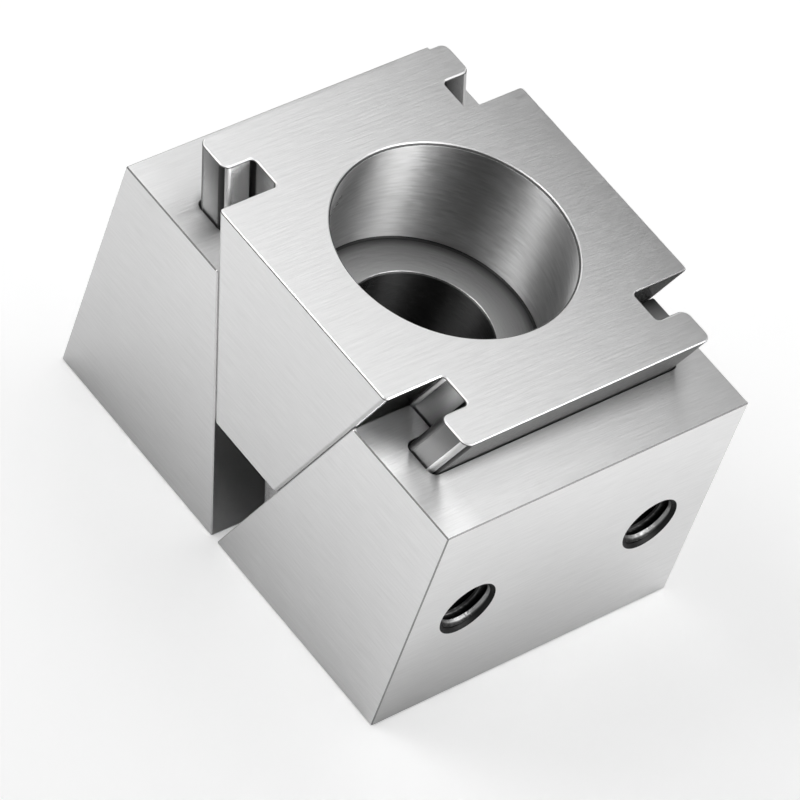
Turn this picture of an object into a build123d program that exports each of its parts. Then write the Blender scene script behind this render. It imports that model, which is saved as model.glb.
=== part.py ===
"""Expanding fixture clamp block: a wedge drawn down by a screw drives two jaws apart.

The wedge carries a T-rail along each inclined side, and each rail slides in a T-slot of its jaw,
so that the jaws spread as the wedge goes down and are drawn together again as it rises.

Frame: +X along the clamping direction, +Y along the jaws' width, +Z up along the screw.
The origin is the centre of the base, midway between the jaws, with the wedge raised as photographed.
"""

import os
from math import cos, isclose, radians, sin, tan

from build123d import *

# Blocks, in millimetres and degrees
block_width = 32.0  # both jaws and the wedge, along Y
jaw_height = 23.8  # from the base to the jaws' top faces
jaw_reach = 21.4  # from the centre to each clamping face
toe_gap = 0.7  # between the jaws' inner edges at the base
incline = 20.0  # of the sliding faces, from the vertical
wedge_height = 18.8
wedge_lift = 10.5  # from the base to the wedge's underside

# T-rails of the wedge, with depths measured square to its inclined faces
neck_width = 20.0
neck_depth = 3.0
flange_width = 26.0
flange_thickness = 3.3
flange_radius = 0.8  # on the flange's four long edges
root_radius = 0.4  # where the neck meets the flange and the wedge

# Seat and way for the clamping screw
screw_hole_diameter = 13.0
seat_diameter = 20.5
seat_depth = 11.4
seat_root_radius = 0.2

# Pair of blind tapped holes in each clamping face
thread_diameter = 5.0
thread_countersink = 0.3  # how much wider the mouth is than the thread, on the radius
thread_depth = 7.0
thread_spacing = 19.6
thread_height = 11.7
countersink_angle = 90.0
drill_point_angle = 118.0

# Running clearances, square to the faces
face_clearance = 0.03  # between an inclined face of the wedge and its jaw
slot_clearance = 0.15  # all round a rail in its slot

# Broken edges
wedge_edge_break = 0.15
jaw_edge_break = 0.1
wedge_corner_radius = 0.4
seat_rim_break = 0.25

# Places that follow from the sizes
wedge_top = wedge_lift + wedge_height
rail_depth = neck_depth + flange_thickness
incline_x = sin(radians(incline))
incline_z = cos(radians(incline))
jaw_face_start = toe_gap / 2
wedge_face_start = jaw_face_start - face_clearance / incline_z
rail_run = (wedge_top + rail_depth) / incline_z
drill_point_depth = thread_diameter / 2 / tan(radians(drill_point_angle / 2))

# Cross-section of the right-hand slide: x across it, y out of the wedge's face, z up the incline
slide = Plane(origin=(wedge_face_start, 0, 0), x_dir=(0, -1, 0), z_dir=(incline_x, 0, incline_z))

# Clamping face of the right-hand jaw, at the height of its tapped holes
clamping_face = Plane(origin=(jaw_reach, 0, thread_height), x_dir=(0, 1, 0), z_dir=(1, 0, 0))


def face_x(start, height):
    """X of an inclined face at a height, from its X at the base."""
    return start + height * tan(radians(incline))


def t_section(grow=0.0):
    """The rail's T on the slide's cross-section, or the slot's when grown by a clearance."""
    with BuildSketch(slide) as section:
        Rectangle(neck_width + 2 * grow, 2 * neck_depth)  # half of it lies inside the wedge
        with Locations((0, neck_depth - grow)):
            Rectangle(
                flange_width + 2 * grow,
                flange_thickness + 2 * grow,
                align=(Align.CENTER, Align.MIN),
            )
    return section.sketch


def slide_edges(block, across, depth):
    """The pair of a block's edges that run up the slide at a half width and a depth."""

    def runs_there(edge):
        middle = slide.to_local_coords(edge @ 0.5)
        along = abs(edge.tangent_at(0.5).dot(slide.z_dir)) > 0.999
        return along and abs(abs(middle.X) - across) < 1e-4 and abs(middle.Y - depth) < 1e-4

    return block.edges().filter_by(GeomType.LINE).filter_by(runs_there)


# Wedge: the right-hand half with its rail, mirrored, then bored from the top
with BuildPart() as wedge:
    with BuildSketch(Plane.XZ):
        with BuildLine():
            Polyline(
                (0, wedge_lift),
                (face_x(wedge_face_start, wedge_lift), wedge_lift),
                (face_x(wedge_face_start, wedge_top), wedge_top),
                (0, wedge_top),
                close=True,
            )
        make_face()
    extrude(amount=block_width / 2, both=True)
    extrude(t_section(), amount=rail_run)
    split(bisect_by=Plane.XY.offset(wedge_top), keep=Keep.BOTTOM)
    split(bisect_by=Plane.XY.offset(wedge_lift), keep=Keep.TOP)
    fillet(slide_edges(wedge, flange_width / 2, rail_depth), radius=flange_radius)
    fillet(slide_edges(wedge, flange_width / 2, neck_depth), radius=flange_radius)
    fillet(slide_edges(wedge, neck_width / 2, neck_depth), radius=root_radius)
    fillet(slide_edges(wedge, neck_width / 2, 0), radius=root_radius)
    fillet(slide_edges(wedge, block_width / 2, 0), radius=wedge_corner_radius)
    mirror(about=Plane.YZ)
    chamfer(wedge.faces().sort_by(Axis.Z)[-1].edges(), length=wedge_edge_break)
    chamfer(wedge.faces().sort_by(Axis.Z)[0].edges(), length=wedge_edge_break)
    with Locations((0, 0, wedge_top)):
        CounterBoreHole(
            radius=screw_hole_diameter / 2,
            counter_bore_radius=seat_diameter / 2,
            counter_bore_depth=seat_depth,
        )
    rims = wedge.edges().filter_by(GeomType.CIRCLE)
    seat_rims = rims.filter_by(lambda e: isclose(e.radius, seat_diameter / 2)).sort_by(Axis.Z)
    hole_rims = rims.filter_by(lambda e: isclose(e.radius, screw_hole_diameter / 2))
    fillet(seat_rims[0], radius=seat_root_radius)
    chamfer(seat_rims[-1], length=seat_rim_break)
    chamfer(hole_rims, length=wedge_edge_break)
wedge.part.label = "wedge"

# Right-hand jaw: a block with one inclined face, slotted for the rail and tapped for a jaw plate
with BuildPart() as right_jaw:
    with BuildSketch(Plane.XZ):
        with BuildLine():
            Polyline(
                (jaw_face_start, 0),
                (jaw_reach, 0),
                (jaw_reach, jaw_height),
                (face_x(jaw_face_start, jaw_height), jaw_height),
                close=True,
            )
        make_face()
    extrude(amount=block_width / 2, both=True)
    chamfer(right_jaw.edges(), length=jaw_edge_break)
    extrude(t_section(slot_clearance), amount=2 * rail_run, both=True, mode=Mode.SUBTRACT)
    slot_half = neck_width / 2 + slot_clearance
    fillet(slide_edges(right_jaw, slot_half, face_clearance), radius=root_radius)
    fillet(slide_edges(right_jaw, slot_half, neck_depth - slot_clearance), radius=root_radius)
    flange_half = flange_width / 2 + slot_clearance
    fillet(slide_edges(right_jaw, flange_half, neck_depth - slot_clearance), radius=flange_radius)
    fillet(slide_edges(right_jaw, flange_half, rail_depth + slot_clearance), radius=flange_radius)
    with Locations(clamping_face):
        with GridLocations(thread_spacing, 0, 2, 1):
            CounterSinkHole(
                radius=thread_diameter / 2,
                counter_sink_radius=thread_diameter / 2 + thread_countersink,
                depth=thread_depth,
                counter_sink_angle=countersink_angle,
            )
    with Locations(clamping_face.offset(-thread_depth)):
        with GridLocations(thread_spacing, 0, 2, 1):
            Cone(
                bottom_radius=0,
                top_radius=thread_diameter / 2,
                height=drill_point_depth,
                align=(Align.CENTER, Align.CENTER, Align.MAX),
                mode=Mode.SUBTRACT,
            )
right_jaw.part.label = "right_jaw"

with BuildPart() as left_jaw:
    add(right_jaw.part)
    mirror(about=Plane.YZ, mode=Mode.REPLACE)
left_jaw.part.label = "left_jaw"

os.makedirs("parts", exist_ok=True)
for piece in (wedge, left_jaw, right_jaw):
    export_step(piece.part, f"parts/{piece.part.label}.step")
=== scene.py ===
# %% [markdown]
# # An expanding clamp block of ground steel
#
# The real object is three hardened and ground steel blocks. A wedge hangs between two jaws on
# T-shaped rails, and a screw through its middle pulls it down, which pushes the jaws apart. The
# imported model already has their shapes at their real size, so this script gives them what a shape
# alone can't: the marks of the grinding wheel, the milling cutter, the lathe tool and the tap, and
# a studio to reflect. Bare steel is mostly a mirror of the room, so the lamps matter as much as the
# material.

from types import SimpleNamespace

import bpy
import numpy as np
from mathutils import Matrix, Vector


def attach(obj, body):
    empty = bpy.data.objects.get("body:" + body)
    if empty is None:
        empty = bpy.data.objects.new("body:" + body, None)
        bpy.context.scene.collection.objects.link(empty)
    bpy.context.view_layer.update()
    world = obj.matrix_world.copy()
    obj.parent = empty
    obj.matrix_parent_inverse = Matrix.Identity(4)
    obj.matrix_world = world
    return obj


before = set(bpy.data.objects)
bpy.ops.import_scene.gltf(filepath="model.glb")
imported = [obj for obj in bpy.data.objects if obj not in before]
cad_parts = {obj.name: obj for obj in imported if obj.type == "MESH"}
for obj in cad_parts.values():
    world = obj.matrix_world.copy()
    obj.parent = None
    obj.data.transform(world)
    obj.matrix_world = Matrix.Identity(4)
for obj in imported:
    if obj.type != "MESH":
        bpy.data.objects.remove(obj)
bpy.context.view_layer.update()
print("nodes:", sorted(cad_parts))

# %% [markdown]
# ## Camera
#
# The block was photographed from above its front corner with a long lens, and the picture was
# turned so that the block seems to stand on one edge. A camera in Blender is turned by a matrix
# whose columns are its right, up and backward directions, which is simpler here than three angles.

# %% Camera
camera_place = Vector((0.2110109, -0.2929661, 0.3869599))  # in metres from the base's centre
camera_right = Vector((0.60028663, 0.75820459, 0.2545226))
camera_up = Vector((-0.69071212, 0.33103181, 0.64291112))
camera_back = camera_right.cross(camera_up)
focal_length, sensor_width = 287.436, 36.0  # in mm

camera_data = bpy.data.cameras.new("camera")
camera_data.lens = focal_length
camera_data.sensor_width = sensor_width
camera = bpy.data.objects.new("camera", camera_data)
turn = Matrix((camera_right, camera_up, camera_back)).transposed()
camera.matrix_world = Matrix.Translation(camera_place) @ turn.to_4x4()
bpy.context.scene.collection.objects.link(camera)
bpy.context.scene.camera = camera
bpy.context.scene.view_settings.view_transform = "Standard"
print("camera distance in mm:", round(1000 * camera_place.length))

# %% [markdown]
# ## A helper for nodes
#
# Every material and the world are node trees, so one small function adds a node, sets its options
# and input values, and links its inputs to other nodes' outputs. Colours are written as the hex
# values that a picture editor shows, and one function turns them to the linear values that light
# adds up in.


# %% Node and colour helpers
def linear(hex_colour):
    """A colour written as sRGB hex, as linear red, green, blue and a full alpha."""
    srgb = np.array([int(hex_colour[i : i + 2], 16) for i in (1, 3, 5)]) / 255
    low, high = srgb / 12.92, ((srgb + 0.055) / 1.055) ** 2.4
    return (*np.where(srgb <= 0.04045, low, high).tolist(), 1.0)


def add(tree, kind, inputs=None, **options):
    """Adds a node of a kind with its options, and sets or links its inputs.

    Each input goes by its name or number. It takes a value, another node's output, or a node, which
    stands for its first live output. A Mix node's numbered inputs are the factor, 0, and the pairs
    of numbers, 2 and 3, vectors, 4 and 5, and colours, 6 and 7.
    """
    node = tree.nodes.new("ShaderNode" + kind)
    for name, option in options.items():
        setattr(node, name, option)
    for name, value in (inputs or {}).items():
        if isinstance(value, bpy.types.Node):
            value = next(output for output in value.outputs if output.enabled)
        if isinstance(value, bpy.types.NodeSocket):
            tree.links.new(value, node.inputs[name])
        else:
            node.inputs[name].default_value = value
    return node


def new_tree(owner):
    """The emptied node tree of a material or world."""
    owner.use_nodes = True
    owner.node_tree.nodes.clear()
    return owner.node_tree


print("mid grey #808080 is", round(linear("#808080")[0], 3), "in linear light")

# %% [markdown]
# ## Floor
#
# The block stands on a sheet of white paper, which has no gloss: it catches the block's shadow and
# mirrors nothing. Lamps strong enough to make the paper pure white would burn out the steel, so the
# paper glows a little instead, for the camera and in the steel's reflections only. Close to the
# block the glow has to fade, or the shadow there would look thin. Ambient occlusion measures that:
# it is 1 in the open and falls towards 0 in a nook.

# %% Floor material
shade_reach = 0.08  # in metres: the block shades the floor from no further away
seen_glow, mirrored_glow = 0.58, 0.75

paper = bpy.data.materials.new("white_backdrop_paper")
tree = new_tree(paper)
path = add(tree, "LightPath")
seen = path.outputs["Is Camera Ray"]
rays = {0: path.outputs["Is Glossy Ray"], 1: path.outputs["Is Transmission Ray"]}
mirrored = add(tree, "Math", rays, operation="MAXIMUM")
openness = add(tree, "AmbientOcclusion", {"Distance": shade_reach}, samples=8).outputs["AO"]
# a small power keeps the shade narrow for the camera, and a large one widens it in reflections
open_seen = add(tree, "Math", {0: openness, 1: 0.25}, operation="POWER")
open_mirrored = add(tree, "Math", {0: openness, 1: 3.0}, operation="POWER")
seen_lift = add(tree, "Math", {0: seen, 1: seen_glow}, operation="MULTIPLY")
seen_lift = add(tree, "Math", {0: seen_lift, 1: open_seen}, operation="MULTIPLY")
mirror_lift = add(tree, "Math", {0: mirrored, 1: mirrored_glow}, operation="MULTIPLY")
mirror_lift = add(tree, "Math", {0: mirror_lift, 1: open_mirrored}, operation="MULTIPLY")
lift = add(tree, "Math", {0: seen_lift, 1: mirror_lift}, operation="MAXIMUM")
open_here = add(tree, "Mix", {0: seen, 2: openness, 3: open_seen}, data_type="FLOAT")
# painted shade: near the block the paper's own colour also darkens, from #EBEBEB in the open to
# #707070 in a nook
whites = {6: linear("#707070"), 7: linear("#EBEBEB")}
shade = add(tree, "Mix", {0: open_here, **whites}, data_type="RGBA")
matt = add(tree, "BsdfDiffuse", {"Color": shade})
glow = add(tree, "Emission", {"Strength": lift})
both = add(tree, "AddShader", {0: matt, 1: glow})
add(tree, "OutputMaterial", {"Surface": both})
print("floor material:", paper.name, "with", len(tree.nodes), "nodes")

# %% Floor
reach = 3.0  # in metres, far past what the camera and the steel see
corners = [(-reach, -reach, 0), (reach, -reach, 0), (reach, reach, 0), (-reach, reach, 0)]
floor_mesh = bpy.data.meshes.new("floor")
floor_mesh.from_pydata(corners, [], [(0, 1, 2, 3)])
floor_mesh.materials.append(paper)
floor = bpy.data.objects.new("floor", floor_mesh)
bpy.context.scene.collection.objects.link(floor)
print("floor is", 2 * reach, "m wide")

# %% [markdown]
# ## Room
#
# Polished edges need something to pick out, and an even white room gives them nothing. So the room
# is bright near the horizon and dim overhead, as a white studio with a dark ceiling is. It is dark
# behind the camera too, and a grey flag stands to the right of the block. One ramp over the height
# of a direction and two soft limits round a direction draw all of that without a picture.

# %% Room
camera_side = (0.583, -0.812, 0)
flag_side = (0.77, 0.59, 0.25)

world = bpy.data.worlds.new("studio_room")
bpy.context.scene.world = world
tree = new_tree(world)
direction = add(tree, "TexCoord").outputs["Generated"]
upward = add(tree, "SeparateXYZ", {0: direction}).outputs["Z"]
# upward is 0 at the horizon and 1 overhead
ramp = add(tree, "ValToRGB", {"Fac": upward})
low, high = ramp.color_ramp.elements
low.position, low.color = 0.40, linear("#FFFFFF")
high.position, high.color = 0.55, linear("#303030")
# each product is 1 straight towards its side, and falls with the angle from it
behind = add(tree, "VectorMath", {0: direction, 1: camera_side}, operation="DOT_PRODUCT")
behind = behind.outputs["Value"]
open_side = add(tree, "MapRange", {0: behind, 1: 0.45, 2: 0.75, 3: 1.1, 4: 0.08})
flagged = add(tree, "VectorMath", {0: direction, 1: flag_side}, operation="DOT_PRODUCT")
flagged = flagged.outputs["Value"]
unflagged = add(tree, "MapRange", {0: flagged, 1: 0.80, 2: 0.95, 3: 1.0, 4: 0.35})
strength = add(tree, "Math", {0: open_side, 1: unflagged}, operation="MULTIPLY")
room = add(tree, "Background", {"Color": ramp, "Strength": strength})
add(tree, "OutputWorld", {"Surface": room})
print("room light at the horizon and overhead:", low.color[0], round(high.color[0], 2))

# %% [markdown]
# ## Lamps
#
# Each of the eight lamps answers one need of the steel. A softbox hangs close behind the block: the
# tops mirror its near part on the left and miss it on the right, which gives them their long fade.
# The key light is seen by matt surfaces only, so it lights the paper and throws the block's shadow
# without a glare on the steel. Two softboxes stand left and right of the camera. The turned seat
# answers each with one bright band down its wall, and they light the fronts and the right outer
# face. The last four are cards, small and seen by mirrors only: one low in front for the inside of
# the front notch, one low and one high on the right for the right jaw's top, its outer face and the
# edges that face it, and one on the left for the seat's right rim.


# %% Lamp helpers
middle = (0, 0, 0.02)  # of the block, in metres


def softbox(name, place, target, width, height, radiance, seen_by=("matt", "mirrors")):
    """A rectangular lamp that faces a target; its power is pi times its area times its radiance."""
    data = bpy.data.lights.new(name, "AREA")
    data.shape = "RECTANGLE"
    data.size, data.size_y = width, height
    data.energy = np.pi * width * height * radiance
    lamp = bpy.data.objects.new(name, data)
    lamp.location = place
    lamp.rotation_euler = (Vector(target) - Vector(place)).to_track_quat("-Z", "Y").to_euler()
    lamp.visible_camera = False
    lamp.visible_diffuse = "matt" in seen_by
    lamp.visible_glossy = "mirrors" in seen_by
    bpy.context.scene.collection.objects.link(lamp)
    print(name, "is", width, "by", height, "m, and has", round(data.energy, 3), "W")


def around(azimuth, elevation, distance):
    """The point in a direction from the block's middle, by its azimuth and elevation in degrees.

    It lies distance * (cos e cos a, cos e sin a, sin e) from the middle.
    """
    turn_by, rise = np.radians([azimuth, elevation])
    flat = distance * np.cos(rise)
    height = middle[2] + distance * np.sin(rise)
    return (flat * np.cos(turn_by), flat * np.sin(turn_by), height)


# %% Softboxes and key light, in metres
overhead = (-0.075, 0.066)
softbox("softbox_behind", (*overhead, 0.15), (*overhead, 0.0), 0.20, 0.08, 1.32)
softbox("key_light", around(-145, 45, 0.8), middle, 0.40, 0.48, 2.8, ("matt",))
softbox("softbox_left", around(-117, 50, 0.4), middle, 0.13, 0.24, 9.0, ("mirrors",))
softbox("softbox_right", around(14, 50, 0.4), middle, 0.14, 0.24, 9.0, ("mirrors",))

# %% Cards for narrow faces: place, target, width, height and radiance
for name, *card in (
    ("card_front", (0.208, -0.216, 0.014), (0.011, -0.012, 0.027), 0.09, 0.026, 8.0),
    ("card_low", (0.105, 0.033, 0.055), (0.015, -0.010, 0.026), 0.07, 0.04, 6.0),
    ("card_high", (0.105, 0.055, 0.100), (-0.010, 0, 0.029), 0.09, 0.03, 2.5),
    ("card_left", (-0.130, 0.015, 0.038), (0, 0.015, 0.029), 0.08, 0.05, 2.5),
):
    softbox(name, *card, ("mirrors",))

# %% [markdown]
# ## Where a point of the steel is
#
# Each block is one mesh with one slot for its material, yet its faces were finished in different
# ways. They could be told apart by painting the mesh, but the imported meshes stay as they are. So a
# material works out from a point's own place and direction what kind of face it lies on. The
# answer is a mask, a number that is 1 there and 0 elsewhere, and each finish is laid over the last
# one through its mask.


# %% Places and directions
incline_slope = float(np.tan(np.radians(20.0)))  # how far an inclined face moves out as it rises
squarely = 0.75  # how much of its normal lies along an axis, for a face to count as facing it


def whereabouts(tree):
    """A point's place in mm, how far its face looks along each axis, and masks of both.

    x, y and z are the place, and to_x, to_y and to_z are the sizes of the normal's parts, each 1 on
    a face that is square to its axis. off_centre is |x|, and past_slope is |x| - z tan 20 degrees,
    which stays the same all the way up an inclined face.
    """
    coordinates = add(tree, "TexCoord")
    to_mm = {0: coordinates.outputs["Object"], 1: (1000, 1000, 1000)}
    place = add(tree, "VectorMath", to_mm, operation="MULTIPLY")
    facing = add(tree, "VectorMath", {0: coordinates.outputs["Normal"]}, operation="ABSOLUTE")
    x, y, z = add(tree, "SeparateXYZ", {0: place}).outputs
    to_x, to_y, to_z = add(tree, "SeparateXYZ", {0: facing}).outputs
    off_centre = add(tree, "Math", {0: x}, operation="ABSOLUTE")
    rising = {0: z, 1: -incline_slope, 2: off_centre}
    return SimpleNamespace(
        place=place,
        x=x,
        y=y,
        z=z,
        to_x=to_x,
        to_y=to_y,
        to_z=to_z,
        off_centre=off_centre,
        beside=add(tree, "Math", {0: y}, operation="ABSOLUTE"),
        past_slope=add(tree, "Math", rising, operation="MULTIPLY_ADD"),
        sideways=add(tree, "Math", {0: to_x, 1: squarely}, operation="GREATER_THAN"),
        front=add(tree, "Math", {0: to_y, 1: squarely}, operation="GREATER_THAN"),
        level=add(tree, "Math", {0: to_z, 1: squarely}, operation="GREATER_THAN"),
        on_right=add(tree, "Math", {0: x, 1: 0.0}, operation="GREATER_THAN"),
    )


print("an inclined face moves out by", round(incline_slope, 3), "mm for each mm of its height")

# %% [markdown]
# ## Ground steel
#
# A surface grinder moves a block back and forth under its wheel, so each face is covered in fine
# straight scratches that run one way: along the width on the tops and outer faces, and along the
# clamping direction on the fronts. A picture of scratches would need unwrapped faces, so they are a
# noise stretched to long thin streaks, in millimetres on the block itself. Light spreads across
# such scratches and hardly along them. The Principled shader's anisotropy gives that when its
# tangent lies across them.


# %% Grinding marks
def grinding(tree, at):
    """The scratches' height, their bump's depth in m, the way across them and the steel's tone.

    The height is noise of the place in mm times (5, 0.3, 5), or times (0.3, 5, 5) on the fronts, so
    the scratches are 0.2 mm apart and about 3 mm long. Real ones are ten times closer, which
    wouldn't show, so they are drawn that much coarser.
    """
    streaks = {4: (5.0, 0.3, 5.0), 5: (0.3, 5.0, 5.0)}
    stretch = add(tree, "Mix", {0: at.front, **streaks}, data_type="VECTOR")
    drawn = add(tree, "VectorMath", {0: at.place, 1: stretch}, operation="MULTIPLY")
    fine = {"Scale": 1.0, "Detail": 4.0, "Roughness": 0.6}
    scratches = add(tree, "TexNoise", {"Vector": drawn, **fine})
    # they show most on the tops and least on the outer faces
    depth = add(tree, "Mix", {0: at.front, 2: 1.2e-5, 3: 2.5e-5}, data_type="FLOAT")
    depth = add(tree, "Mix", {0: at.level, 2: depth, 3: 3.5e-5}, data_type="FLOAT")
    across = add(tree, "Mix", {0: at.level, 4: (0, 0, 1), 5: (1, 0, 0)}, data_type="VECTOR")
    greys = {6: linear("#D2D2D2"), 7: linear("#E6E6E6")}
    tone = add(tree, "Mix", {0: scratches, **greys}, data_type="RGBA")
    return scratches, depth, across, tone


# %% The jaws' material
# Ground and slightly oiled tool steel. The scratches spread each lamp into a soft streak, so a face
# fades slowly from light to grey instead of showing the lamp's outline.
steel = bpy.data.materials.new("ground_tool_steel")
tree = new_tree(steel)
at = whereabouts(tree)
scratches, depth, across, tone = grinding(tree, at)
bump = add(tree, "Bump", {"Distance": depth, "Height": scratches})
print("nodes for places and scratches:", len(tree.nodes))

# %% [markdown]
# ### The jaws, face by face
#
# The jaws aren't evenly bright, and the lamps here don't give all of it, so light and shade are
# painted into the steel's tone. The left front is painted duller than the right one, the right top
# is painted lightest along its front edge, and the lower part of the outer face is painted from
# light at the rear to dull at the front. A gain on the steel's tone follows each of these fades.

# %% Gains along the jaws' faces
# painted light and shade: the fronts brighten from the left jaw to the right one
front_gain = add(tree, "MapRange", {0: at.x, 1: -18.0, 2: 6.0, 3: 0.91, 4: 1.13})
# painted shade: the lower part of the outer faces darkens towards the front and lightens towards the
# rear
low_down = add(tree, "MapRange", {0: at.z, 1: 12.0, 2: 0.0})
painted_outer_fade = add(tree, "MapRange", {0: at.y, 1: -16.0, 2: 16.0, 3: 0.70, 4: 1.22})
outer_gain = add(tree, "Mix", {0: low_down, 2: 1.0, 3: painted_outer_fade}, data_type="FLOAT")
# a painted highlight: a strip along the front edge of the top, on the right jaw only
front_highlight_strip = add(tree, "MapRange", {0: at.y, 1: -13.8, 2: -12.0, 3: 1.0, 4: 0.0})
front_highlight_strip = add(tree, "Math", {0: front_highlight_strip, 1: at.on_right}, operation="MULTIPLY")
top_gain = add(tree, "Mix", {0: front_highlight_strip, 2: 1.05, 3: 1.25}, data_type="FLOAT")
gain = add(tree, "Mix", {0: at.front, 2: outer_gain, 3: front_gain}, data_type="FLOAT")
gain = add(tree, "Mix", {0: at.level, 2: gain, 3: top_gain}, data_type="FLOAT")
tone = add(tree, "VectorMath", {0: tone, "Scale": gain}, operation="SCALE")
print("nodes with the gains:", len(tree.nodes))

# %% [markdown]
# ### The jaws' edges, slots and holes
#
# An oilstone breaks the sharp edges, which leaves them dull and without one direction. Their tone is
# painted light and shade. Painted shade also darkens the inclined faces towards the rear, the tops
# round the rails' feet and in the notches that the slots cut from the tops, and the tapped holes.

# %% The jaws' inclined faces and broken edges
incline_limit = 0.55  # in mm past the slope, just outside the inclined faces' broken edges
beside_incline = add(tree, "Math", {0: at.past_slope, 1: incline_limit}, operation="LESS_THAN")
inclined = add(tree, "Math", {0: beside_incline, 1: at.sideways}, operation="MULTIPLY")
# painted shade: the inclined faces, which face each other under the wedge, darken from the front
# towards the rear
rear_incline_shade = add(tree, "MapRange", {0: at.y, 1: -16.0, 2: -5.0})
incline_shade_greys = {6: linear("#FFFFFF"), 7: linear("#404040")}
inclined_tone = add(tree, "Mix", {0: rear_incline_shade, **incline_shade_greys}, data_type="RGBA")

# an edge looks squarely along no axis; upright ones look up by less than 0.4
widest = add(tree, "Math", {0: at.to_x, 1: at.to_y}, operation="MAXIMUM")
widest = add(tree, "Math", {0: widest, 1: at.to_z}, operation="MAXIMUM")
broken = add(tree, "Math", {0: widest, 1: 0.85}, operation="LESS_THAN")
upright = add(tree, "Math", {0: at.to_z, 1: 0.4}, operation="LESS_THAN")
# painted shade and highlight: upright broken edges are darker than the others, and those beside the
# inclined faces are light
edge_greys = {6: linear("#686868"), 7: linear("#909090")}
edge_tone = add(tree, "Mix", {0: upright, **edge_greys}, data_type="RGBA")
incline_edge_highlight = {6: edge_tone, 7: linear("#D0D0D0")}
edge_tone = add(tree, "Mix", {0: beside_incline, **incline_edge_highlight}, data_type="RGBA")
print("inclined faces lie within", incline_limit, "mm past the slope")

# %% Painted shade round the rails' feet and in the notches
# in mm: a notch ends this far past the slope, and starts this far from the block's middle
notch_depth, notch_side = 3.7, 9.9
in_notch = add(tree, "Math", {0: at.past_slope, 1: notch_depth}, operation="LESS_THAN")
# the painted shade reaches further at the rear, and the front notches get none
nook_shade_width = add(tree, "MapRange", {0: at.y, 1: -12.0, 2: 12.0, 3: 0.0012, 4: 0.003})
nook = add(tree, "AmbientOcclusion", {"Distance": nook_shade_width}, samples=8).outputs["AO"]
nook = add(tree, "MapRange", {0: nook, 1: 0.15, 2: 0.85, 3: 1.0, 4: 0.0})
nook = add(tree, "Math", {0: nook, 1: at.level}, operation="MULTIPLY")
front_notch = add(tree, "Math", {0: at.y, 1: -notch_side}, operation="LESS_THAN")
front_notch = add(tree, "Math", {0: front_notch, 1: in_notch}, operation="MULTIPLY")
nook = add(tree, "Mix", {0: front_notch, 2: nook, 3: 0.0}, data_type="FLOAT")

# painted shade: the tops in the rear notches darken towards the inclined faces, from #A8A8A8 to
# 303030
rear_notch = add(tree, "Math", {0: at.y, 1: notch_side}, operation="GREATER_THAN")
rear_notch = add(tree, "Math", {0: rear_notch, 1: in_notch}, operation="MULTIPLY")
rear_notch = add(tree, "Math", {0: rear_notch, 1: at.level}, operation="MULTIPLY")
from_face = add(tree, "MapRange", {0: at.past_slope, 1: 0.6, 2: 3.6})
notch_shade_greys = {6: linear("#303030"), 7: linear("#A8A8A8")}
notch_shade_tone = add(tree, "Mix", {0: from_face, **notch_shade_greys}, data_type="RGBA")
print("notches end", notch_depth, "mm past the slope")

# %% The jaws' tapped holes
hole_side, hole_height = 9.8, 11.7  # in mm: a tapped hole's axis beside the middle and up
hole_reach = 2.9  # in mm from the axis, just outside the countersink
slot_end = 12.7  # in mm from the centre, just past the slot's back wall beside the holes
beside = add(tree, "Math", {0: at.beside, 1: hole_side}, operation="SUBTRACT")
above = add(tree, "Math", {0: at.z, 1: hole_height}, operation="SUBTRACT")
from_axis = add(tree, "CombineXYZ", {0: beside, 1: above})
from_axis = add(tree, "VectorMath", {0: from_axis}, operation="LENGTH").outputs["Value"]
near_axis = add(tree, "Math", {0: from_axis, 1: hole_reach}, operation="LESS_THAN")
past_slot = add(tree, "Math", {0: at.off_centre, 1: slot_end}, operation="GREATER_THAN")
# the clamping face itself, which looks straight along X, isn't in the hole
inward = add(tree, "Math", {0: at.to_x, 1: 0.9}, operation="LESS_THAN")
# painted shade: the walls of the tapped holes are made near black
tapped = add(tree, "Math", {0: near_axis, 1: past_slot}, operation="MULTIPLY")
tapped = add(tree, "Math", {0: tapped, 1: inward}, operation="MULTIPLY")
print("tapped holes at", hole_side, "mm to both sides and", hole_height, "mm up")

# %% The jaws' finish, laid on in order
# each coat laid on here is painted shade, and the broken edges also carry painted highlights
for mask, coat in (
    (inclined, inclined_tone),
    (broken, edge_tone),
    (nook, linear("#383838")),
    (rear_notch, notch_shade_tone),
    (tapped, linear("#222222")),
):
    tone = add(tree, "Mix", {0: mask, 6: tone, 7: coat}, data_type="RGBA")
roughness = add(tree, "Mix", {0: broken, 2: 0.38, 3: 0.5}, data_type="FLOAT")
anisotropy = add(tree, "Mix", {0: broken, 2: 0.75, 3: 0.0}, data_type="FLOAT")
finish = {
    "Base Color": tone,
    "Metallic": 1.0,
    "Roughness": roughness,
    "Anisotropic": anisotropy,
    "Tangent": across,
    "Normal": bump,
}
add(tree, "OutputMaterial", {"Surface": add(tree, "BsdfPrincipled", finish)})
for name in ("left_jaw", "right_jaw"):
    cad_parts[name].material_slots[0].material = steel
print(steel.name, "has", len(tree.nodes), "nodes")

# %% [markdown]
# ## The wedge's steel
#
# The wedge is ground on its top and fronts like the jaws, but its rails are milled, its seat is
# bored on a lathe, and its screw hole is drilled before hardening, so it keeps a dark skin of
# scale. All of that is one material in one slot again. It starts from the same places and
# scratches, and more masks tell the rails, the seat and the hole apart.

# %% The wedge's material
# Ground tool steel, turned in its seat and milled on its rails. The top gives the same long fades
# as the jaws' faces, the seat's rings draw each lamp out into a band down the wall, and the
# smoother rails stay crisp, with a painted light or dark stripe along a rounded edge.
wedge_steel = bpy.data.materials.new("ground_and_turned_tool_steel")
tree = new_tree(wedge_steel)
at = whereabouts(tree)
scratches, depth, across, tone = grinding(tree, at)

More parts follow.
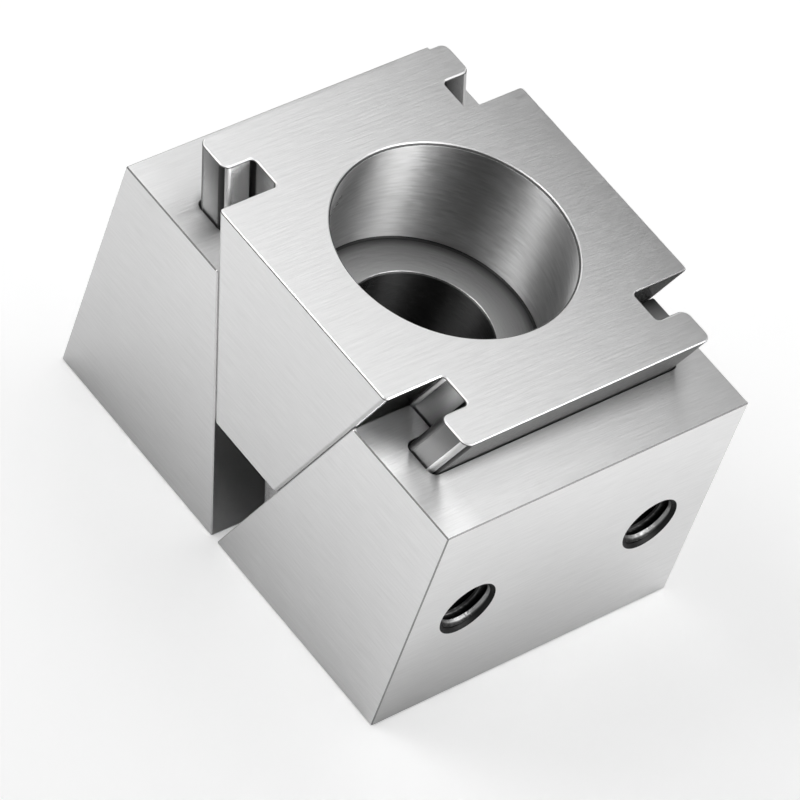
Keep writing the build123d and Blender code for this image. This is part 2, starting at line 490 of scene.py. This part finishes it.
seat_radius, hole_radius = 10.25, 6.5  # in mm
outward = add(tree, "CombineXYZ", {0: at.x, 1: at.y})
radius = add(tree, "VectorMath", {0: outward}, operation="LENGTH").outputs["Value"]
in_seat = add(tree, "Math", {0: radius, 1: seat_radius + 0.01}, operation="LESS_THAN")
in_hole = add(tree, "Math", {0: radius, 1: hole_radius + 0.1}, operation="LESS_THAN")
seat_floor = add(tree, "Math", {0: in_seat, 1: at.level}, operation="MULTIPLY")
print("seat and hole are", 2 * seat_radius, "and", 2 * hole_radius, "mm wide")

# %% The wedge's rails and inclined faces
# in mm past the slope: 0.15 outside the wedge's inclined faces, and just inside the rails' outer
# sides
body_edge, outer_edge = 0.468, 6.718
past_body = add(tree, "Math", {0: at.past_slope, 1: body_edge}, operation="SUBTRACT")
milled = add(tree, "Math", {0: past_body, 1: 0.0}, operation="GREATER_THAN")
for elsewhere in (at.level, in_seat):
    not_there = add(tree, "Math", {0: 1.0, 1: elsewhere}, operation="SUBTRACT")
    milled = add(tree, "Math", {0: milled, 1: not_there}, operation="MULTIPLY")
outer = add(tree, "Math", {0: at.past_slope, 1: outer_edge}, operation="GREATER_THAN")
rail_end = add(tree, "MapRange", {0: at.beside, 1: 12.4, 2: 12.9})
inclined = add(tree, "Math", {0: past_body, 1: -0.15, 2: 0.15}, operation="COMPARE")
inclined = add(tree, "Math", {0: inclined, 1: at.sideways}, operation="MULTIPLY")
# the chamfers round the top and bottom and the seat's rim, but not the rails' rounded edges
broken = add(tree, "Math", {0: at.to_z, 1: 0.65, 2: 0.2}, operation="COMPARE")
print("rails stand out past", body_edge, "mm, and their outer sides past", outer_edge, "mm")

# %% [markdown]
# ### The milled rails
#
# The same face of the two rails is given different greys, as painted light and shade: the right neck
# is painted bright at its root and dull outwards, and the left one darker at the rear than at the
# front. So the tones are given rail by rail and part by part: the necks and the flanges' inner
# sides, then their ends and outer sides.

# %% Tones of the rails' flat faces
# painted light and shade on the right neck: bright at its root, dark outwards
from_root = add(tree, "MapRange", {0: past_body, 1: 0.3, 2: 2.8})
right_greys = {6: linear("#FFFFFF"), 7: linear("#484848")}
right_neck = add(tree, "Mix", {0: from_root, **right_greys}, data_type="RGBA")

# painted light and shade on the left flange's inner side, lighter outwards from the neck and darker
# at the rear, and a plain grey on the sides of the neck itself
from_neck = add(tree, "MapRange", {0: at.beside, 1: 10.0, 2: 12.2})
front_greys = {6: linear("#B0B0B0"), 7: linear("#F4F4F4")}
rear_greys = {6: linear("#303030"), 7: linear("#808080")}
front_inner = add(tree, "Mix", {0: from_neck, **front_greys}, data_type="RGBA")
rear_inner = add(tree, "Mix", {0: from_neck, **rear_greys}, data_type="RGBA")
at_rear = add(tree, "Math", {0: at.y, 1: 0.0}, operation="GREATER_THAN")
left_neck = add(tree, "Mix", {0: at_rear, 6: front_inner, 7: rear_inner}, data_type="RGBA")
neck_side = {6: left_neck, 7: linear("#8C8C8C")}
left_neck = add(tree, "Mix", {0: at.front, **neck_side}, data_type="RGBA")

# painted shade on the left flange's end, dark at its inner side and lighter outwards; the right end
# is a plain darker grey
along_end = add(tree, "MapRange", {0: past_body, 1: 3.2, 2: 6.0})
end_greys = {6: linear("#484848"), 7: linear("#8C8C8C")}
left_end = add(tree, "Mix", {0: along_end, **end_greys}, data_type="RGBA")
end_tone = add(tree, "Mix", {0: at.on_right, 6: left_end, 7: linear("#6A6A6A")}, data_type="RGBA")

rail_tone = left_neck
for mask, coat in (
    (at.on_right, right_neck),
    (rail_end, end_tone),
    (outer, linear("#989898")),
):
    rail_tone = add(tree, "Mix", {0: mask, 6: rail_tone, 7: coat}, data_type="RGBA")
print("nodes with the rails' flat faces:", len(tree.nodes))

# %% [markdown]
# ### The rails' rounded edges
#
# Each rounded edge is painted in two halves, a painted highlight on one and painted shade on the
# other, along the left rail's inner edges and the right rail's outer ones. The corners between
# neck and flange get painted shade.

# %% Tones of the rails' rounded edges
slanted = add(tree, "Math", {0: at.to_x, 1: at.to_y}, operation="MINIMUM")
rounded = add(tree, "Math", {0: slanted, 1: 0.1}, operation="GREATER_THAN")
rounded = add(tree, "Math", {0: rounded, 1: milled}, operation="MULTIPLY")
more_x = add(tree, "Math", {0: at.to_x, 1: at.to_y}, operation="GREATER_THAN")
# painted highlight and painted shade: each striped rounded edge gets one light and one dark half
left_halves = {6: linear("#3C3C3C"), 7: linear("#D4D4D4")}
right_halves = {6: linear("#D8D8D8"), 7: linear("#404040")}
left_round = add(tree, "Mix", {0: more_x, **left_halves}, data_type="RGBA")
right_round = add(tree, "Mix", {0: more_x, **right_halves}, data_type="RGBA")
round_tone = add(tree, "Mix", {0: at.on_right, 6: left_round, 7: right_round}, data_type="RGBA")
# inner edges on the left and outer ones on the right, which is where one of two masks holds
on_inner = add(tree, "Math", {0: past_body, 1: 4.6}, operation="LESS_THAN")
striped = add(tree, "Math", {0: on_inner, 1: at.on_right}, operation="SUBTRACT")
striped = add(tree, "Math", {0: striped}, operation="ABSOLUTE")
striped = add(tree, "Math", {0: striped, 1: rounded}, operation="MULTIPLY")
# painted shade in the corners between neck and flange
far_out = add(tree, "Math", {0: past_body, 1: 1.5}, operation="GREATER_THAN")
near_neck = add(tree, "Math", {0: at.beside, 1: 11.0}, operation="LESS_THAN")
at_root = add(tree, "Math", {0: far_out, 1: near_neck}, operation="MULTIPLY")
at_root = add(tree, "Math", {0: at_root, 1: rounded}, operation="MULTIPLY")
for mask, coat in ((striped, round_tone), (at_root, linear("#202020"))):
    rail_tone = add(tree, "Mix", {0: mask, 6: rail_tone, 7: coat}, data_type="RGBA")
print("nodes with the rails' rounded edges:", len(tree.nodes))

# %% [markdown]
# ### The turned seat
#
# A lathe tool leaves a fine ring at each turn, round the seat's wall and across its floor. The same
# noise as for the scratches draws them, on a place that is bent round the hole: the way round is
# stretched into arcs, and the radius less the height counts the rings. On the wall only the height
# changes and on the floor only the radius, so one number serves both.

# %% Turning rings
# Noise of (5 cos a, 5 sin a, 3 (radius - z)) makes rings 0.33 mm apart in arcs of about 2 mm. Real
# ones are about 0.1 mm apart, which wouldn't show, so they are drawn three times coarser.
arcs_per_radian, rings_per_mm = 5.0, 3.0
round_part = add(tree, "VectorMath", {0: outward}, operation="NORMALIZE")
ring_step = add(tree, "Math", {0: radius, 1: at.z}, operation="SUBTRACT")
ring_step = add(tree, "Math", {0: ring_step, 1: rings_per_mm}, operation="MULTIPLY")
ring_step = add(tree, "CombineXYZ", {2: ring_step})
bent = {0: round_part, 1: (arcs_per_radian, arcs_per_radian, 0), 2: ring_step}
ring_place = add(tree, "VectorMath", bent, operation="MULTIPLY_ADD")
coarse = {"Scale": 1.0, "Detail": 1.0, "Roughness": 0.6}
rings = add(tree, "TexNoise", {"Vector": ring_place, **coarse})
height = add(tree, "Mix", {0: in_seat, 2: scratches, 3: rings}, data_type="FLOAT")
depth = add(tree, "Mix", {0: in_seat, 2: depth, 3: 5.0e-5}, data_type="FLOAT")
bump = add(tree, "Bump", {"Distance": depth, "Height": height})
# across the rings is along the axis on the wall and outwards on the floor
across = add(tree, "Mix", {0: seat_floor, 4: across, 5: round_part}, data_type="VECTOR")
print("rings are", round(1 / rings_per_mm, 2), "mm apart")

# %% Tones of the seat
wall_greys = {6: linear("#B4B4B4"), 7: linear("#D8D8D8")}
wall_tone = add(tree, "Mix", {0: rings, **wall_greys}, data_type="RGBA")
# painted shade: the seat's floor darkens from the hole towards the wall
near_wall = add(tree, "MapRange", {0: radius, 1: hole_radius, 2: 10.2})
seat_floor_shade_greys = {6: linear("#C0C0C0"), 7: linear("#808080")}
floor_tone = add(tree, "Mix", {0: near_wall, **seat_floor_shade_greys}, data_type="RGBA")
# painted shade round the seat's foot, on its floor and in the rounded corner above it
at_foot = add(tree, "MapRange", {0: radius, 1: 9.3, 2: 10.2})
floor_tone = add(tree, "Mix", {0: at_foot, 6: floor_tone, 7: linear("#4C4C4C")}, data_type="RGBA")
foot_height, foot_radius = 18.0, 10.03  # in mm: the corner's middle, and where it starts
at_height = add(tree, "Math", {0: at.z, 1: foot_height, 2: 0.1}, operation="COMPARE")
near_corner = add(tree, "Math", {0: radius, 1: foot_radius}, operation="GREATER_THAN")
seat_foot = add(tree, "Math", {0: at_height, 1: near_corner}, operation="MULTIPLY")
seat_foot = add(tree, "Math", {0: seat_foot, 1: in_seat}, operation="MULTIPLY")
print("the oily corner starts", round(seat_radius - foot_radius, 2), "mm from the seat's wall")

# %% Tones of the wedge's broken edges
# the seat's rim is painted a little darker than the outer edges, which dims its highlight
at_rim = add(tree, "Math", {0: radius, 1: seat_radius + 0.35}, operation="LESS_THAN")
edge_greys = {6: linear("#DEDEDE"), 7: linear("#D0D0D0")}
edge_tone = add(tree, "Mix", {0: at_rim, **edge_greys}, data_type="RGBA")
# painted shade: a dark line along the foot of the top's broken edges, which starts 0.1 mm below the
# top
foot_middle, foot_half = 29.12, 0.085  # in mm
edge_foot = add(tree, "Math", {0: at.z, 1: foot_middle, 2: foot_half}, operation="COMPARE")
edge_tone = add(tree, "Mix", {0: edge_foot, 6: edge_tone, 7: linear("#505050")}, data_type="RGBA")
print("nodes with the broken edges:", len(tree.nodes))

# %% The wedge's finish, laid on in order
for mask, coat in (
    (milled, rail_tone),
    (broken, edge_tone),
    (in_seat, wall_tone),
    (seat_floor, floor_tone),
    (seat_foot, linear("#3C3C3C")),
    (in_hole, linear("#505050")),
):
    tone = add(tree, "Mix", {0: mask, 6: tone, 7: coat}, data_type="RGBA")

roughness = 0.33
for mask, value in (
    (milled, 0.24),
    (rounded, 0.4),
    (broken, 0.55),
    (inclined, 0.15),
    (in_seat, 0.45),
    (seat_floor, 0.7),
):
    roughness = add(tree, "Mix", {0: mask, 2: roughness, 3: value}, data_type="FLOAT")

# neither the oilstone's edges nor the seat's floor spread light one way
uneven = add(tree, "Math", {0: broken, 1: seat_floor}, operation="MAXIMUM")
anisotropy = add(tree, "Mix", {0: uneven, 2: 0.95, 3: 0.1}, data_type="FLOAT")
# a metal brightens at a slant, and on the inclined faces that is taken away as painted shade
slants = {6: linear("#BEBEBE"), 7: linear("#101010")}
graze = add(tree, "Mix", {0: inclined, **slants}, data_type="RGBA")
finish = {
    "Base Color": tone,
    "Metallic": 1.0,
    "Roughness": roughness,
    "Anisotropic": anisotropy,
    "Tangent": across,
    "Normal": bump,
    "Specular Tint": graze,
}
add(tree, "OutputMaterial", {"Surface": add(tree, "BsdfPrincipled", finish)})
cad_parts["wedge"].material_slots[0].material = wedge_steel
print(wedge_steel.name, "has", len(tree.nodes), "nodes")

# %% [markdown]
# ## Screw threads
#
# Two screws would hold a jaw plate against each clamping face, so a tap cuts an M5 thread into each
# of the four holes. A bump in the material would be cheaper, but the thread's crests show against
# the dark hole, so they are real relief. The ridge is a profile of four corners carried round a
# helix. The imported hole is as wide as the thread's grooves, so the ridge starts in the hole's wall
# and stands out towards its axis.

# %% Thread sizes in mm
thread_pitch = 0.8
groove_radius = 2.5
crest_radius = 2.067
mouth_radius = 2.8
clamping_x = 21.4
first_turn, last_turn = 0.35, 6.5  # depths at which the ridge's middle starts and ends
rise_length, sink_length = 0.16, 1.2  # over which its crest comes up and goes down again
corner_depths = np.array([-0.35, -0.10, 0.10, 0.35])  # of the profile's corners, from its middle
at_crest = np.array([0, 1, 1, 0])  # which of them form the crest
embedded = 0.05  # how far the other two lie inside the wall
start_phase = 0.48  # the depth at which the ridge points along Y
steps_per_turn = 40
sharp_from = 35.0  # in degrees: the ridge's long edges stay sharp, and its steps are smoothed
print("turns:", round((last_turn - first_turn) / thread_pitch, 1))


# %% Thread surface
def thread_ridge(centre_y, side):
    """A ridge's corners, as steps by profile corners by x, y, z in mm, and which are its crest.

    At a depth d below the clamping face the profile has turned by 2 pi d / pitch about the hole's
    axis. Its two outer corners lie in the wall, 0.7 mm apart, and its two inner ones at the crest,
    0.2 mm apart. The crest is never inside the mouth's 45 degree cone, whose radius is mouth radius
    - depth. It rises from the wall over the first fifth of a turn, and sinks into it over the last
    one and a half turns.
    """
    count = round((last_turn - first_turn) / thread_pitch * steps_per_turn)
    middle = np.linspace(first_turn, last_turn, count + 1)[:, None]
    depth = middle + corner_depths
    wall = np.maximum(groove_radius, mouth_radius - depth) + embedded
    crest = np.maximum(crest_radius, mouth_radius - depth)
    rise = np.clip((middle - first_turn) / rise_length, 0, 1)
    rise = rise * np.clip((last_turn - middle) / sink_length, 0, 1)
    radius = wall + at_crest * rise * (crest - wall)
    angle = -2 * np.pi * (middle - start_phase) / thread_pitch
    x = side * (clamping_x - depth)
    y = centre_y + side * radius * np.cos(angle)
    z = hole_height + radius * np.sin(angle)
    return np.stack([x, y, z], axis=-1), np.broadcast_to(at_crest, x.shape)


def closed_strip(name, corners, marks):
    """A closed mesh from rings of corners in mm, with a mark for each corner.

    Corner c of ring r is joined to corner c + 1 and to the same two corners of ring r + 1, and the
    first and last rings are filled.
    """
    rings_made, ring = corners.shape[:2]
    here = np.arange(rings_made - 1)[:, None] * ring + np.arange(ring)
    beside = np.roll(np.arange(ring), -1) - np.arange(ring) + here
    quads = np.stack([here, beside, beside + ring, here + ring], axis=-1).reshape(-1, 4)
    last = (rings_made - 1) * ring
    ends = [tuple(range(ring - 1, -1, -1)), tuple(range(last, last + ring))]
    mesh = bpy.data.meshes.new(name)
    mesh.from_pydata((corners.reshape(-1, 3) / 1000).tolist(), [], quads.tolist() + ends)
    mesh.shade_smooth()
    mesh.set_sharp_from_angle(angle=np.radians(sharp_from))
    crest = mesh.attributes.new("crest", "FLOAT", "POINT")
    crest.data.foreach_set("value", marks.ravel().astype(float))
    return mesh


def volume(mesh):
    """The volume in mm3 that a closed mesh encloses, which is below 0 where faces point inwards.

    It is the sum over the triangles a, b, c of a . (b x c) / 6.
    """
    mesh.calc_loop_triangles()
    points = np.empty(3 * len(mesh.vertices))
    mesh.vertices.foreach_get("co", points)
    corners = np.empty(3 * len(mesh.loop_triangles), dtype=int)
    mesh.loop_triangles.foreach_get("vertices", corners)
    a, b, c = 1000 * points.reshape(-1, 3)[corners.reshape(-1, 3)].transpose(1, 0, 2)
    return (a * np.cross(b, c)).sum() / 6


print("a ridge has", thread_ridge(hole_side, 1)[0].shape[0], "rings of four corners")

# %% [markdown]
# ### The threads' steel
#
# The tap leaves torn, oily steel that the grinding wheel never reaches. The grooves are painted near
# black as shade, and the crests get a painted dull glint. The mesh carries a number that is 1 on
# its crests, so that the painted glint follows the ridge round the hole.

# %% Thread finish
# Tapped and oily tool steel: rough, so that it mirrors no outline, with a painted glint along each
# crest and painted shade in the grooves.
tapped_steel = bpy.data.materials.new("oily_tapped_steel_painted_glint")
tree = new_tree(tapped_steel)
to_mm = {0: add(tree, "TexCoord").outputs["Object"], 1: (1000, 1000, 1000)}
place = add(tree, "VectorMath", to_mm, operation="MULTIPLY")
# the tap's chatter is drawn 0.3 mm coarse so that it shows
chatter = add(tree, "TexNoise", {"Vector": place, "Scale": 3.0, "Detail": 2.0})
bump = add(tree, "Bump", {"Distance": 1.0e-4, "Height": chatter})
crest = add(tree, "Attribute", attribute_name="crest").outputs["Fac"]
crest = add(tree, "Math", {0: crest, 1: 6.0}, operation="POWER")
thread_shade_and_glint = {6: linear("#2A2A2A"), 7: linear("#8A8A8A")}
tone = add(tree, "Mix", {0: crest, **thread_shade_and_glint}, data_type="RGBA")
finish = {"Base Color": tone, "Metallic": 1.0, "Roughness": 0.45, "Normal": bump}
add(tree, "OutputMaterial", {"Surface": add(tree, "BsdfPrincipled", finish)})
print(tapped_steel.name, "has", len(tree.nodes), "nodes")

# %% Threads in the four holes
for body, side in (("right_jaw", 1), ("left_jaw", -1)):
    for row, centre_y in (("front", -hole_side), ("rear", hole_side)):
        name = f"thread_{body}_{row}"
        mesh = closed_strip(name, *thread_ridge(centre_y, side))
        mesh.materials.append(tapped_steel)
        thread = bpy.data.objects.new(name, mesh)
        bpy.context.scene.collection.objects.link(thread)
        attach(thread, body)
        print(name, len(mesh.polygons), "faces, volume in mm3:", round(volume(mesh), 1))
